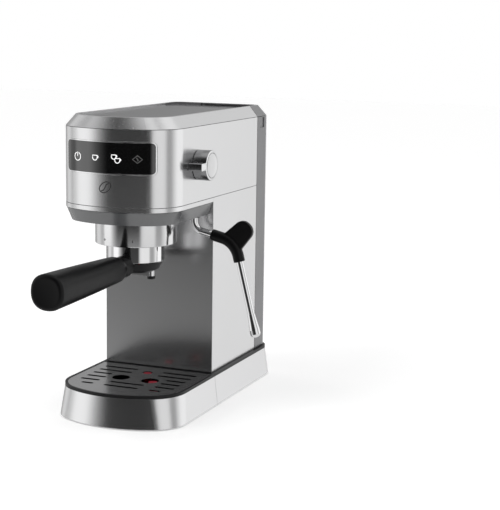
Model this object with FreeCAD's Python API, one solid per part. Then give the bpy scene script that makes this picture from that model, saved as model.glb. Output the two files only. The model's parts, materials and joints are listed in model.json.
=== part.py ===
"""Slim pump espresso machine: a bowed steel head on a flat column, over a slide-out drip tray.

Millimetres. +Z is up and the front faces -Y. X = 0 is the plane of symmetry of the body, Y = 0 is the
front face of the column, and Z = 0 is the surface that the rubber feet stand on.
"""
import FreeCAD, Part
import math
import os
from collections import namedtuple

V = FreeCAD.Vector
X, Y, Z = V(1, 0, 0), V(0, 1, 0), V(0, 0, 1)
OUT = "parts"
os.makedirs(OUT, exist_ok=True)

# ------------------------------------------------------------------ driving dimensions
# A plan is an outline seen from above: straight sides, a bowed front that meets them in rounded corners,
# and a straight rear with smaller corners. front is how far the middle of the bow stands before Y = 0,
# bow is how far the front arc falls back by the time it reaches the sides.
Plan = namedtuple("Plan", "half front corner bow rear rear_corner")
BODY = Plan(half=68.5, front=131.2, corner=43.4, bow=26.7, rear=174.0, rear_corner=16.0)
TOP = Plan(half=58.4, front=124.1, corner=40.6, bow=26.7, rear=167.5, rear_corner=12.0)
RIM = Plan(half=72.5, front=131.6, corner=44.3, bow=27.9, rear=176.0, rear_corner=22.0)
FOOT = Plan(half=76.2, front=135.4, corner=40.0, bow=27.8, rear=181.5, rear_corner=25.0)

SKIRT_Z = 1.5          # lower edge of the flared base, held off the counter by the feet
RIM_Z = 34.7           # top of the flared base, foot of the black rim
DECK_Z = 38.0          # top of the black rim
PAN_Z = 223.5          # flat underside of the head
BAND_Z = 237.7         # foot of the trim band, top of the chamfered pan
SEAM_Z = 243.5         # foot of the head's steel shell
BEVEL_Z = 326.3        # top of the steel shell, foot of the sloping top frame
TOP_Z = 339.0          # top of the sloping frame
RECESS_Z = 336.0       # cup-warming surface, sunk in the frame
PAN_INSET = 6.1        # how far the pan's flat underside stands inside the body outline
RIM_FLAT = 4.0         # flat width on top of the sloping frame

SHEET = 1.0            # steel sheet
SEAM = 0.5             # visible gap between neighbouring covers
TANK_FRONT = 131.8     # front wall of the removable tank
SHELL_REAR = 130.9     # rear edges of the steel covers
FRAME_TOP = 325.0      # top of the moulded inner frame
FRAME_HALF = 66.0      # half width of the moulded inner frame
HEAD_DECK = (238.6, 241.6)  # the frame's deck at the foot of the head, reaching out over the group
WALL = 2.5             # moulded plastic walls

GROUP = V(0, -58.5, 0)  # axis of the group and the portafilter
COLLAR_R = 45.3
COLLAR_Z = 195.9
FILTER_R = 32.0        # chrome body of the portafilter
FILTER_Z = 175.4       # foot of that chrome body
FUNNEL_Z = 163.4
SPOUT_X = 19.0
SPOUT_R = 3.9
SPOUT_Z = 155.6
HANDLE_Z = 172.3       # height of the handle's axis
HANDLE_NEAR = -106.0
HANDLE_FAR = -256.0
HANDLE_R_NEAR = 14.4
HANDLE_R_FAR = 18.9

KNOB = V(68.5, -42.3, 284.2)  # centre of the knob on the right-hand side
KNOB_R = 16.8
KNOB_RIM = 2.6         # width of the bright rim round the knob's face
KNOB_GAP = 0.4         # clearance between the knob and the shell behind it
KNOB_LEN = 17.0
LEVER_REACH = 28.0
LEVER_HALF = 4.3
LEVER_ROUND = 1.2
VALVE_HALF = 10.0      # half height and half depth of the steam valve's block behind the knob

WAND = V(53.5, -19.0, 0)  # vertical swivel axis of the steam pipe
PIPE_R = 4.0
SLEEVE_R = 6.5
NOZZLE_R = 6.0
WAND_CORNERS = [V(53.5, -19, 229), V(53.5, -19, 209), V(103.8, -19, 197.2), V(129.6, -19, 95.5)]
WAND_BENDS = [12.0, 26.0]
PADDLE_CORNERS = [(88.0, 203.6), (113.4, 225.5), (128.5, 211.1), (106.7, 183.3)]  # x and z
PADDLE_ROUNDS = [1.0, 10.4, 10.4, 1.0]
PADDLE_THICK = 6.0

GLASS_HALF = 52.4
GLASS_LOW, GLASS_HIGH = 279.6, 312.6
GLASS_CORNER = 4.0

SLOT_W = 5.0
SLOT_PITCH = 15.0
SLOT_FIRST_Y = -21.0
SIDE_SLOTS = [(16.4, 58.4), (16.4, 58.4), (34.5, 58.5), (34.5, 58.5), (34.5, 58.5), (34.5, 49.5)]
CENTRE_SLOT_HALF = 21.0
DRAIN_HOLES = [(-18.3, -60.0, 10.3), (18.3, -60.0, 10.3), (0.0, -28.5, 6.0)]

GRID_THICK = 0.8
FLOAT_TIPS = [(0.0, -28.5, 4.6, 37.3), (22.4, -60.0, 5.3, 36.6)]  # x, y, radius and top of each tip
FLOAT_LIFT_CLEAR = 0.3

PUMP = V(0, 62, 0)     # vertical axis of the pump
DOCK = V(0, 152, 0)    # vertical axis of the tank's socket
DOCK_R = 10.0
VALVE_R = 6.0
HINGE = V(0, 176.4, 326.6)  # axis of the tank lid's hinge, along X
KNUCKLE_R = 2.6
PIN_R = 1.5
KNUCKLE_HALF = 8.5     # half width of the tank's middle knuckle
HINGE_HALF = 24.0
LUG_R = 38.2
LEDGE_SPAN, LUG_SPAN = 60, 26


# ------------------------------------------------------------------ small helpers
def save(node, shape):
    """Writes one sub-part, cleaned up, as parts/NODE.step."""
    shape.exportStep(os.path.join(OUT, node + ".step"))


def block(x, y, z):
    """A box between two limits along each axis."""
    return Part.makeBox(x[1] - x[0], y[1] - y[0], z[1] - z[0], V(x[0], y[0], z[0]))


def rod(centre, r, start, end, axis=Z):
    """A cylinder about a line through centre along axis, between two distances along it."""
    return Part.makeCylinder(r, end - start, centre + axis * start, axis)


def ring(centre, outer, inner, start, end, axis=Z):
    """A plain tube."""
    return rod(centre, outer, start, end, axis).cut(rod(centre, inner, start - 1, end + 1, axis))


def fuse(shapes):
    """One solid out of overlapping ones."""
    shapes = list(shapes)
    return shapes[0].multiFuse(shapes[1:]).removeSplitter()


def cut(shape, *tools):
    """A shape with tools taken away."""
    for tool in tools:
        shape = shape.cut(tool)
    return shape


def group(shapes):
    """Separate solids that share one node."""
    return Part.makeCompound(list(shapes))


def arc(centre, r, start, end):
    """An arc in a level plane, between two angles in radians."""
    angles = (start, (start + end) / 2, end)
    return Part.Arc(*[centre + V(r * math.cos(a), r * math.sin(a), 0) for a in angles]).toShape()


def outline(plan, z, inset=0.0):
    """The closed wire of a plan at height z, drawn inset from it all the way round."""
    bow_r = (plan.half**2 + plan.bow**2) / (2 * plan.bow)
    bow_y = bow_r - plan.front
    corner_x = plan.half - plan.corner
    corner_y = bow_y - math.sqrt((bow_r - plan.corner) ** 2 - corner_x**2)
    meet = math.atan2(bow_y - corner_y, corner_x)
    half = plan.half - inset
    corner = plan.corner - inset
    rear = plan.rear - inset
    turn = max(plan.rear_corner - inset, 0.5)
    right, left = V(corner_x, corner_y, z), V(-corner_x, corner_y, z)
    right_rear, left_rear = V(half - turn, rear - turn, z), V(turn - half, rear - turn, z)
    line = Part.LineSegment
    edges = [
        line(V(half, rear - turn, z), V(half, corner_y, z)).toShape(),
        arc(right, corner, 0, -meet),
        arc(V(0, bow_y, z), bow_r - inset, -meet, meet - math.pi),
        arc(left, corner, meet - math.pi, -math.pi),
        line(V(-half, corner_y, z), V(-half, rear - turn, z)).toShape(),
        arc(left_rear, turn, math.pi, math.pi / 2),
        line(V(turn - half, rear, z), V(half - turn, rear, z)).toShape(),
        arc(right_rear, turn, math.pi / 2, 0),
    ]
    return Part.Wire(edges)


def slab(plan, low, high, inset=0.0):
    """A plan drawn straight up between two heights."""
    return Part.Face(outline(plan, low, inset)).extrude(V(0, 0, high - low))


def taper(low_plan, low, high_plan, high, low_inset=0.0, high_inset=0.0):
    """A solid that runs straight from one plan to another above it."""
    wires = [outline(low_plan, low, low_inset), outline(high_plan, high, high_inset)]
    return Part.makeLoft(wires, True, True)


def before(y):
    """Everything in front of a plane of constant Y, as a cutting block."""
    return block((-200, 200), (-400, y), (-50, 400))


def behind(y):
    """Everything behind a plane of constant Y, as a cutting block."""
    return block((-200, 200), (y, 400), (-50, 400))


def rounded_window(half, low, high, corner):
    """A prism along Y with a rounded rectangular section, for the display and its cut-out."""
    y = -150
    points = [(half, low), (half, high), (-half, high), (-half, low)]
    path = bent_wire([V(x, y, z) for x, z in points], [corner] * 4, closed=True)
    return Part.Face(path).extrude(V(0, 60, 0))


def bent_wire(points, radii, closed=False):
    """Straight runs through points, joined by tangent arcs at each inner point."""
    count = len(points)
    turns = range(count) if closed else range(1, count - 1)
    ends, edges = {}, []
    for slot, i in enumerate(turns):
        here = points[i]
        back = (points[i - 1] - here).normalize()
        ahead = (points[(i + 1) % count] - here).normalize()
        opening = back.getAngle(ahead)
        reach = radii[slot] / math.tan(opening / 2)
        middle = (back + ahead).normalize()
        centre = here + middle * (radii[slot] / math.sin(opening / 2))
        ends[i] = (here + back * reach, centre - middle * radii[slot], here + ahead * reach)
    order = list(turns)
    start = ends[order[-1]][2] if closed else points[0]
    for i in order:
        first, mid, last = ends[i]
        edges.append(Part.LineSegment(start, first).toShape())
        edges.append(Part.Arc(first, mid, last).toShape())
        start = last
    if not closed:
        edges.append(Part.LineSegment(start, points[-1]).toShape())
    return Part.Wire(edges)


def bent_rod(points, radii, r):
    """A round bar along straight runs and tangent arcs."""
    path = bent_wire(points, radii)
    section = Part.Wire(Part.makeCircle(r, points[0], points[1] - points[0]))
    return path.makePipeShell([section], True, True)


def turned(profile, base, axis, right=None):
    """A solid of revolution about a line from base along axis, from (distance, radius) pairs."""
    side = right or axis.cross(Z).normalize()
    points = [base + axis * d + side * r for d, r in profile]
    face = Part.Face(Part.makePolygon(points + [points[0]]))
    return face.revolve(base, axis, 360)


def on_ring(count, r, start=0.0):
    """Points evenly round a circle."""
    for i in range(count):
        a = math.radians(start + 360 * i / count)
        yield V(r * math.cos(a), r * math.sin(a), 0)


# ------------------------------------------------------------------ base
def base_plate():
    plate = slab(FOOT, 2.2, 5.0, inset=7.0)
    sockets = [rod(foot, 9.2, 1, 3.6) for foot in foot_places()]
    save("base_plate", cut(plate, *sockets, *screw_ways(0.1)))


def foot_places():
    return [V(sx * 48, y, 0) for sx in (-1, 1) for y in (-78, 155)]


def screw_ways(clearance):
    """The base screws' shapes, grown by a clearance: as holes, or at 0 as the screws."""
    screws = []
    for x in (-60, 60):
        for y in (20, 110):
            head = rod(V(x, y, 0), 3.2 + clearance, 2.3 - clearance, 3.6)
            screws.append(head.fuse(rod(V(x, y, 0), 1.6 + clearance, 3.5, 14.0)))
    return screws


def base_screws():
    save("base_screws", group(screw_ways(0)))


def rubber_feet():
    feet = [turned([(0, 0), (0, 8.0), (1.0, 9.0), (3.6, 9.0), (3.6, 0)], p, Z, X) for p in foot_places()]
    save("rubber_feet", group(feet))


def base_rear_skirt():
    outer = taper(FOOT, SKIRT_Z, RIM, RIM_Z - 0.2)
    inner = taper(FOOT, SKIRT_Z - 0.1, RIM, RIM_Z + 0.1, 2.0, 2.0)
    save("base_rear_skirt", cut(outer, inner, before(0.2), mains_hole(7.6)))


def base_deck():
    deck = slab(RIM, RIM_Z, DECK_Z)
    hose_way = block((-14, 14), (30, 100), (RIM_Z - 1, DECK_Z + 1))
    legs = [block((sx * 60 - 4, sx * 60 + 4), (12, 124), (5.0, RIM_Z + 1)) for sx in (-1, 1)]
    cross = block((-60, 60), (2.0, 4.5), (5.0, RIM_Z + 1))
    frame = fuse([cut(deck, before(0.2)), *legs, cross])
    save("base_deck", cut(frame, hose_way, rod(DOCK, DOCK_R + 0.2, 30, 50), *screw_ways(0)))


def mains_hole(r):
    return rod(V(-40, 0, 16), r, 160, 200, Y)


def mains_inlet():
    """Short bushing where the mains lead would enter at the back."""
    profile = [(168, 4.2), (168, 10.5), (171, 10.5), (171, 7.5), (182.2, 7.5), (182.2, 4.2)]
    save("mains_inlet", turned(profile, V(-40, 0, 16), Y, X))


# ------------------------------------------------------------------ drip tray
def tray_skirt():
    outer = taper(FOOT, SKIRT_Z, RIM, RIM_Z - 0.2)
    inner = taper(FOOT, SKIRT_Z - 0.1, RIM, RIM_Z + 0.1, 1.6, 1.6)
    save("tray_skirt", cut(outer, inner, behind(-0.3)))


def tray_rim():
    rim = slab(RIM, RIM_Z, DECK_Z).cut(slab(RIM, RIM_Z - 1, DECK_Z + 1, inset=2.7))
    rim = rim.cut(behind(-3.3))
    bar = slab(RIM, RIM_Z, DECK_Z).common(block((-80, 80), (-3.3, -0.3), (30, 40)))
    save("tray_rim", fuse([rim, bar]))


def drip_tub():
    """Moulded water tub under the grid, with its flange, a pull lip and the float's guide posts."""
    outer = fuse([slab(RIM, 31.7, 34.5, inset=2.0), slab(RIM, 6.0, 31.7, inset=9.0)])
    inner = slab(RIM, 8.0, 40, inset=11.0)
    tub = cut(outer, behind(-5.5), cut(inner, behind(-7.5)))
    x, y = FLOAT_TIPS[0][:2]
    post = ring(V(x, y, 0), 5.0, 2.3 + FLOAT_LIFT_CLEAR, 7.5, 16.0)
    save("drip_tub", fuse([tub, post]))


def float_indicator():
    """Red float: a stem in the tub's post, and an arm between two tips that stand in the drain holes."""
    points = [V(x, y, 0) for x, y, _, _ in FLOAT_TIPS]
    stem = rod(points[0], 2.3, 9.0, 24.0)
    tips = [rod(p, r, 20.0, top) for p, (_, _, r, top) in zip(points, FLOAT_TIPS)]
    reach = points[1] - points[0]
    arm = Part.makeBox(reach.Length, 7, 5, V(0, -3.5, 20))
    arm.rotate(V(0, 0, 0), Z, math.degrees(math.atan2(reach.y, reach.x)))
    arm.translate(points[0])
    save("float_indicator", fuse([stem, arm, *tips]))


def stadium(x0, x1, y, low, high):
    """A slot cutter with round ends, SLOT_W wide."""
    r = SLOT_W / 2
    ends = [rod(V(x, y, 0), r, low, high) for x in (x0 + r, x1 - r)]
    return fuse([block((x0 + r, x1 - r), (y - r, y + r), (low, high)), *ends])


def drip_grid():
    """Steel plate with a short folded edge, three drain holes and six rows of slots."""
    top = DECK_Z - 0.3
    low = top - GRID_THICK
    plate = slab(RIM, low, top, inset=3.1)
    lip = slab(RIM, low - 1.6, top - 0.1, inset=3.1).cut(slab(RIM, low - 2, top + 1, inset=4.3))
    grid = fuse([plate.cut(behind(-3.7)), lip.cut(behind(-3.7))])
    cutters = []
    for row, (start, end) in enumerate(SIDE_SLOTS):
        y = SLOT_FIRST_Y - SLOT_PITCH * row
        cutters += [stadium(start, end, y, low - 5, top + 5), stadium(-end, -start, y, low - 5, top + 5)]
    for row in (4, 5):
        y = SLOT_FIRST_Y - SLOT_PITCH * row
        cutters.append(stadium(-CENTRE_SLOT_HALF, CENTRE_SLOT_HALF, y, low - 5, top + 5))
    cutters += [rod(V(x, y, 0), r, low - 5, top + 5) for x, y, r in DRAIN_HOLES]
    save("drip_grid", cut(grid, *cutters))


# ------------------------------------------------------------------ column and head covers
def column_front_panel():
    """Sheet down the front of the column, notched at its hidden top for the deck that reaches forward."""
    panel = block((-BODY.half, BODY.half), (0, SHEET), (DECK_Z + SEAM, SEAM_Z - SEAM))
    notch_half = FRAME_HALF + SEAM
    notch = block((-notch_half, notch_half), (-1, 2), (HEAD_DECK[0] - SEAM, SEAM_Z))
    save("column_front_panel", panel.cut(notch))


def column_side_panel(side, name):
    x = sorted((side * BODY.half, side * (BODY.half - SHEET)))
    save(name, block(x, (SHEET + 0.05, SHELL_REAR), (DECK_Z + SEAM, SEAM_Z - SEAM)))


def inner_frame():
    """Moulded frame that carries the covers: back wall, side ribs, shelves and the head's deck."""
    half = FRAME_HALF
    back = block((-half, half), (127.0, 130.4), (DECK_Z, FRAME_TOP))
    front = block((-half, half), (1.6, 4.0), (DECK_Z, SEAM_Z - 4))
    lower_shelf = block((-half, half), (3.0, 128), (66, 69))
    upper_shelf = block((-half, half), (3.0, 128), (150, 153))
    deck = slab(BODY, *HEAD_DECK, inset=3.0).cut(behind(128))
    deck = cut(deck, rod(GROUP, 34.0, 200, 260), rod(WAND, 9.0, 200, 260))
    walls = [
        block(sorted((s * half, s * (half - WALL))), (2.0, 128), (DECK_Z, FRAME_TOP)) for s in (-1, 1)
    ]
    ways = [block((-20, 20), (35, 85), (z - 2, z + 5)) for z in (66, 150)]
    pipe_way = block((-20, 20), (45, 80), (230, 250))
    frame = fuse([back, front, lower_shelf, upper_shelf, deck, *walls])
    save("inner_frame", cut(frame, *ways, pipe_way))


def head_shell():
    """Bowed steel wrap of the head, open at the back, with the display window and the knob's hole."""
    low, high = SEAM_Z, BEVEL_Z
    shell = slab(BODY, low, high).cut(slab(BODY, low - 1, high + 1, inset=SHEET))
    window = rounded_window(GLASS_HALF + 1.3, GLASS_LOW - 1.3, GLASS_HIGH + 1.3, GLASS_CORNER + 1.3)
    save("head_shell", cut(shell, behind(SHELL_REAR), window, rod(KNOB, 6.0, -5, 5, X)))


def display_frame():
    """Thin bright surround of the display."""
    sheet = slab(BODY, 270, 320, inset=-0.35).cut(slab(BODY, 269, 321, inset=1.6))
    outside = rounded_window(GLASS_HALF + 1.2, GLASS_LOW - 1.2, GLASS_HIGH + 1.2, GLASS_CORNER + 1.2)
    inside = rounded_window(GLASS_HALF + 0.05, GLASS_LOW - 0.05, GLASS_HIGH + 0.05, GLASS_CORNER)
    save("display_frame", sheet.common(outside).cut(inside))


def display_glass():
    sheet = slab(BODY, 270, 320, inset=-0.1).cut(slab(BODY, 269, 321, inset=2.0))
    save("display_glass", sheet.common(rounded_window(GLASS_HALF, GLASS_LOW, GLASS_HIGH, GLASS_CORNER)))


def touch_board():
    """Touch-sensing circuit board behind the glass, with one sprung pad behind each symbol."""
    board = block((-46, 46), (-112.0, -110.4), (282, 310))
    pads = [rod(V(x, 0, 295.5), 4.0, -113.4, -112.0, Y) for x in (-36, -12.2, 12.2, 35.5)]
    save("touch_board", fuse([board, *pads]))


def trim_band():
    band = slab(BODY, BAND_Z + SEAM, SEAM_Z - SEAM, inset=-0.2).cut(slab(BODY, 230, 250, inset=1.4))
    save("trim_band", band.cut(behind(-SEAM)))


def head_pan():
    """Chamfered underside of the head, with the openings for the group and the steam pipe."""
    outer = taper(BODY, PAN_Z, BODY, BAND_Z, PAN_INSET, 0.4)
    inner = taper(BODY, PAN_Z + WALL, BODY, BAND_Z + 0.01, PAN_INSET + 2.2, 2.9)
    ways = [rod(GROUP, COLLAR_R - 2.4, 200, 260), rod(WAND, 6.6, 200, 260)]
    save("head_pan", cut(outer, inner, behind(-SEAM), *ways))


def top_frame():
    """Sloping metal frame round the cup-warming plate, open at the back where the tank's lid follows."""
    outer = taper(BODY, BEVEL_Z + SEAM, TOP, TOP_Z)
    inner = slab(TOP, BEVEL_Z - 1, TOP_Z + 1, inset=RIM_FLAT)
    save("top_frame", cut(outer, inner, behind(SHELL_REAR)))


def cup_plate():
    plate = slab(TOP, RECESS_Z - 2.0, RECESS_Z, inset=RIM_FLAT + 0.1)
    ribs = [block((x - 1.5, x + 1.5), (-80, 120), (RECESS_Z - 8, RECESS_Z - 1.9)) for x in (-30, 30)]
    save("cup_plate", fuse([cut(plate, behind(SHELL_REAR)), *ribs]))


# ------------------------------------------------------------------ brew group
def group_collar():
    """Outer cylinder of the group below the head."""
    wall = ring(GROUP, COLLAR_R, COLLAR_R - 2.6, COLLAR_Z, PAN_Z - 0.1)
    save("group_collar", wall)


def group_head():
    """Cast group: bayonet ledges that carry the portafilter's lugs, and the brew chamber above them."""
    barrel = ring(GROUP, COLLAR_R - 2.9, 39.0, 197.0, 236.0)
    roof = ring(GROUP, 40.8, 2.1, 214.0, 238.4)
    ledges = [
        sector(39.5, 197.0, 200.0, middle, LEDGE_SPAN).cut(rod(GROUP, 33.4, 190, 210)) for middle in (90, 270)
    ]
    save("group_head", fuse([barrel, roof, *ledges]))


def sector(r, low, high, middle, span):
    """A slice of a disc about the group's axis, span degrees wide."""
    piece = Part.makeCylinder(r, high - low, GROUP + Z * low, Z, span)
    piece.rotate(GROUP, Z, middle - span / 2)
    return piece


def group_gasket():
    save("group_gasket", ring(GROUP, 33.5, 27.0, 207.8, 213.9))


def shower_screen():
    """Perforated disc that spreads the water over the coffee."""
    disc = rod(GROUP, 26.4, 208.6, 209.6).cut(rod(GROUP, 2.2, 200, 220))
    holes = [GROUP + p for count, r in ((6, 7), (12, 13), (18, 19), (24, 23.5)) for p in on_ring(count, r)]
    save("shower_screen", cut(disc, group(rod(p, 0.7, 200, 220) for p in holes)))


def shower_screw():
    profile = [(206.6, 0), (206.6, 3.4), (208.5, 4.4), (208.5, 2.0), (222, 2.0), (222, 0)]
    save("shower_screw", turned(profile, GROUP, Z, X))


def thermoblock():
    """Heater block above the group, with its fins."""
    body = block((-36, 36), (-92, -22), (242.0, 268))
    boss = rod(GROUP, 26.0, 238.6, 243.0)
    fins = [block((-36, 36), (y, y + 3), (267, 274)) for y in range(-90, -24, 9)]
    save("thermoblock", fuse([body, boss, *fins]))


# ------------------------------------------------------------------ water and steam works
def pump():
    """Vibration pump standing in the column: coil, piston body, inlet below and outlet above."""
    coil = block((-21, 21), (40, 84), (84, 124))
    body = rod(PUMP, 12.0, 74, 140)
    stubs = rod(PUMP, 4.5, 67.0, 147.0)
    save("pump", fuse([coil, body, stubs]))


def pump_mounts():
    """Two rubber brackets that hang the pump from the lower shelf."""
    bracket = block((-24, 24), (50, 74), (69.0, 80.0)).cut(block((-17, 17), (40, 80), (68.0, 74.0)))
    upper = block((-24, 24), (50, 74), (126.0, 134.0))
    save("pump_mounts", group(cut(b, rod(PUMP, 12.0, 60, 150)) for b in (bracket, upper)))


def steam_valve():
    """Valve block behind the knob, between the heater block and the steam pipe."""
    half = VALVE_HALF
    body = block((44, 62), (KNOB.y - half, KNOB.y + half), (KNOB.z - half, KNOB.z + half))
    gland = rod(KNOB, 7.0, -7.0, -1.3, X)
    save("steam_valve", cut(fuse([body, gland]), rod(KNOB, 4.08, -20.0, 5, X)))


def supply_hose():
    """From the tank's socket forward under the deck, then up to the pump."""
    save("supply_hose", bent_rod([V(0, 141, 24), V(0, 62, 24), V(0, 62, 66.9)], [18], 3.0))


def brew_hose():
    """From the pump up the column and forward to the heater block."""
    save("brew_hose", bent_rod([V(0, 62, 147.1), V(0, 62, 256), V(0, -21.9, 256)], [20], 3.0))


def valve_hose():
    """From the heater block across and up to the steam valve."""
    points = [V(36.1, KNOB.y, 256), V(53, KNOB.y, 256), V(53, KNOB.y, KNOB.z - VALVE_HALF - 0.1)]
    save("valve_hose", bent_rod(points, [8], 3.0))


def steam_hose():
    """From the steam valve back and down to the steam pipe's gland."""
    points = [V(WAND.x, KNOB.y + VALVE_HALF + 0.1, 284), V(WAND.x, WAND.y, 284), V(WAND.x, WAND.y, 236.1)]
    save("steam_hose", bent_rod(points, [9], 3.0))


def control_board():
    """Power and control circuit board on the left wall of the column."""
    board = block((-60, -58.4), (16, 112), (160, 226))
    parts = [
        block((-58.5, -44), (24, 44), (170, 186)),
        block((-58.5, -48), (52, 70), (168, 180)),
        rod(V(-58.5, 90, 176), 8, 0, 22, X),
        rod(V(-58.5, 60, 206), 6, 0, 16, X),
        block((-58.5, -50), (84, 106), (204, 214)),
    ]
    save("control_board", fuse([board, *parts]))


def tank_dock():
    """Socket in the base that opens the tank's valve and feeds the hose."""
    cup = ring(DOCK, DOCK_R, VALVE_R + 0.6, 26.0, DECK_Z - 0.1)
    floor = rod(DOCK, DOCK_R, 20.0, 28.0)
    flange = ring(DOCK, DOCK_R + 4, DOCK_R - 1, 31.5, RIM_Z - 0.1)
    nipple = rod(DOCK + Z * 24.0, 3.6, -10.9, 0, Y)
    save("tank_dock", fuse([cup, floor, flange, nipple]))


# ------------------------------------------------------------------ portafilter
def filter_body():
    """Chrome body of the portafilter, with its two bayonet lugs."""
    profile = [(175.4, 22), (175.4, 30.8), (176.6, 32), (206.8, 32), (206.8, 29.3), (178, 29.3), (178, 22)]
    body = turned(profile, GROUP, Z, X)
    inside = rod(GROUP, 31.0, 190, 210)
    lugs = [sector(LUG_R, 200.3, 204.0, middle, LUG_SPAN).cut(inside) for middle in (90, 270)]
    save("filter_body", fuse([body, *lugs]))


def funnel_solid():
    profile = [(FUNNEL_Z, 0), (FUNNEL_Z, 20), (166.6, 26.0), (FILTER_Z - 0.1, 30.6), (FILTER_Z - 0.1, 21.9)]
    return turned([*profile, (177.5, 21.9), (177.5, 0)], GROUP, Z, X)


def filter_funnel():
    """Black insert under the body that leads the coffee to the spouts."""
    hollow = turned([(165.4, 0), (165.4, 14), (178, 19.5), (178, 0)], GROUP, Z, X)
    save("filter_funnel", funnel_solid().cut(hollow))


def twin_spout():
    bridge = block((-SPOUT_X, SPOUT_X), (GROUP.y - 4.5, GROUP.y + 4.5), (158.6, 164))
    places = [GROUP + X * (side * SPOUT_X) for side in (-1, 1)]
    tubes = [rod(p, SPOUT_R, SPOUT_Z, 168.0) for p in places]
    bores = [rod(p, SPOUT_R - 1.2, SPOUT_Z - 1, 161.5) for p in places]
    save("twin_spout", cut(fuse([bridge, *tubes]), funnel_solid(), *bores))


def handle_ferrule():
    """Black neck between the chrome body and the grip."""
    base = V(0, 0, HANDLE_Z)
    neck = turned([(84, 0), (84, 12.4), (102, 11.6), (-HANDLE_NEAR, 12.2), (-HANDLE_NEAR, 0)], base, -Y, X)
    save("handle_ferrule", cut(neck, rod(GROUP, FILTER_R, 100, 260), bolt_solid()))


def handle_grip():
    base = V(0, 0, HANDLE_Z)
    near, far = -HANDLE_NEAR + 0.1, -HANDLE_FAR
    profile = [
        (near, 0),
        (near, HANDLE_R_NEAR - 2.4),
        (near + 1.0, HANDLE_R_NEAR - 0.7),
        (near + 3.0, HANDLE_R_NEAR),
        (far - 3.0, HANDLE_R_FAR),
        (far - 0.8, HANDLE_R_FAR - 1.0),
        (far, HANDLE_R_FAR - 3.4),
        (far, 0),
    ]
    save("handle_grip", turned(profile, base, -Y, X).cut(bolt_solid()))


def bolt_solid():
    return rod(V(0, 0, HANDLE_Z), 4.0, 90.6, 236.0, -Y)


def handle_bolt():
    """Threaded rod inside the grip that holds it to the body."""
    save("handle_bolt", bolt_solid())


def filter_basket():
    """Pressed steel basket with its rolled rim and perforated floor."""
    outer = [(180.2, 0), (180.2, 25.4), (181.2, 26.2), (206.9, 28.4), (206.9, 31.6), (207.3, 31.6)]
    inner = [(207.3, 27.9), (181.4, 25.7), (180.8, 25.2), (180.8, 0)]
    basket = turned(outer + inner, GROUP, Z, X)
    holes = [GROUP + p for count, r in ((6, 5), (12, 10), (18, 15), (24, 20)) for p in on_ring(count, r)]
    save("filter_basket", cut(basket, group(rod(p, 0.6, 178, 183) for p in holes)))


def basket_spring():
    """Wire ring that grips the basket in the body."""
    save("basket_spring", Part.makeTorus(28.6, 0.5, GROUP + Z * 192.0, Z))


# ------------------------------------------------------------------ steam knob
def lever(start, end):
    """The finger lever that stands out of the knob towards the front, between two depths along X."""
    depth = (KNOB.x + start, KNOB.x + end)
    bar = block(depth, (KNOB.y - LEVER_REACH, KNOB.y), (KNOB.z - LEVER_HALF, KNOB.z + LEVER_HALF))
    corners = [edge for edge in bar.Edges if is_lever_corner(edge)]
    return bar.makeFillet(LEVER_ROUND, corners)


def is_lever_corner(edge):
    """The two long edges at the lever's tip, which a finger meets."""
    box = edge.BoundBox
    return box.XLength > 1 and box.YMax < KNOB.y - LEVER_REACH + 0.1


def knob_cap():
    disc = rod(KNOB, KNOB_R, KNOB_GAP, KNOB_LEN - 0.4, X)
    cap = fuse([disc, lever(KNOB_GAP, KNOB_LEN - 0.4)])
    save("knob_cap", cut(cap, rod(KNOB, KNOB_R - KNOB_RIM, KNOB_LEN - 2.0, KNOB_LEN + 1, X), shaft_solid()))


def knob_face():
    save("knob_face", rod(KNOB, KNOB_R - KNOB_RIM - 0.7, KNOB_LEN - 1.9, KNOB_LEN, X))


def shaft_solid():
    return rod(KNOB, 4.0, -19.0, 12.0, X)


def knob_shaft():
    save("knob_shaft", shaft_solid())


# ------------------------------------------------------------------ steam wand
def wand_gland():
    """Bush in the underside of the head that the steam pipe turns in, its flange flat on the outer side."""
    bush = rod(WAND, 6.4, 221.9, 236.0)
    flange = rod(WAND, 8.6, PAN_Z + WALL + 0.05, 228.0)
    flange = flange.common(block((0, BODY.half - PAN_INSET - 2.3), (-100, 100), (200, 260)))
    save("wand_gland", cut(fuse([bush, flange]), rod(WAND, PIPE_R + 0.08, 200, 230.5)))


def pipe_solid():
    return bent_rod(WAND_CORNERS, WAND_BENDS, PIPE_R)


def steam_pipe():
    save("steam_pipe", pipe_solid())


def wand_run(start, end):
    """A point between two of the pipe's corners: start counts the runs, end is the share of the way."""
    a, b = WAND_CORNERS[start], WAND_CORNERS[start + 1]
    return a + (b - a) * end


def wand_sleeve():
    """Black grip moulded over the pipe's bend, with the flat paddle that is used to move it."""
    points = [wand_run(1, 0.44), WAND_CORNERS[2], wand_run(2, 0.215)]
    sleeve = bent_rod(points, [WAND_BENDS[1]], SLEEVE_R)
    corners = [V(x, WAND.y - PADDLE_THICK / 2, z) for x, z in PADDLE_CORNERS]
    paddle = Part.Face(bent_wire(corners, PADDLE_ROUNDS, closed=True)).extrude(V(0, PADDLE_THICK, 0))
    save("wand_sleeve", fuse([sleeve, paddle]).cut(pipe_solid()))


def wand_nozzle():
    """Swollen steel tip pressed over the end of the pipe."""
    end = WAND_CORNERS[3]
    way = (end - WAND_CORNERS[2]).normalize()
    profile = [(-22, 0), (-22, PIPE_R + 0.3), (-14, PIPE_R + 0.9), (-4, NOZZLE_R), (1.0, NOZZLE_R)]
    profile += [(3.4, NOZZLE_R - 1.4), (4.6, 1.8), (4.6, 0)]
    nozzle = turned(profile, end, way, Y)
    save("wand_nozzle", cut(nozzle, pipe_solid(), rod(end, 0.8, -1, 8, way)))


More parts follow.
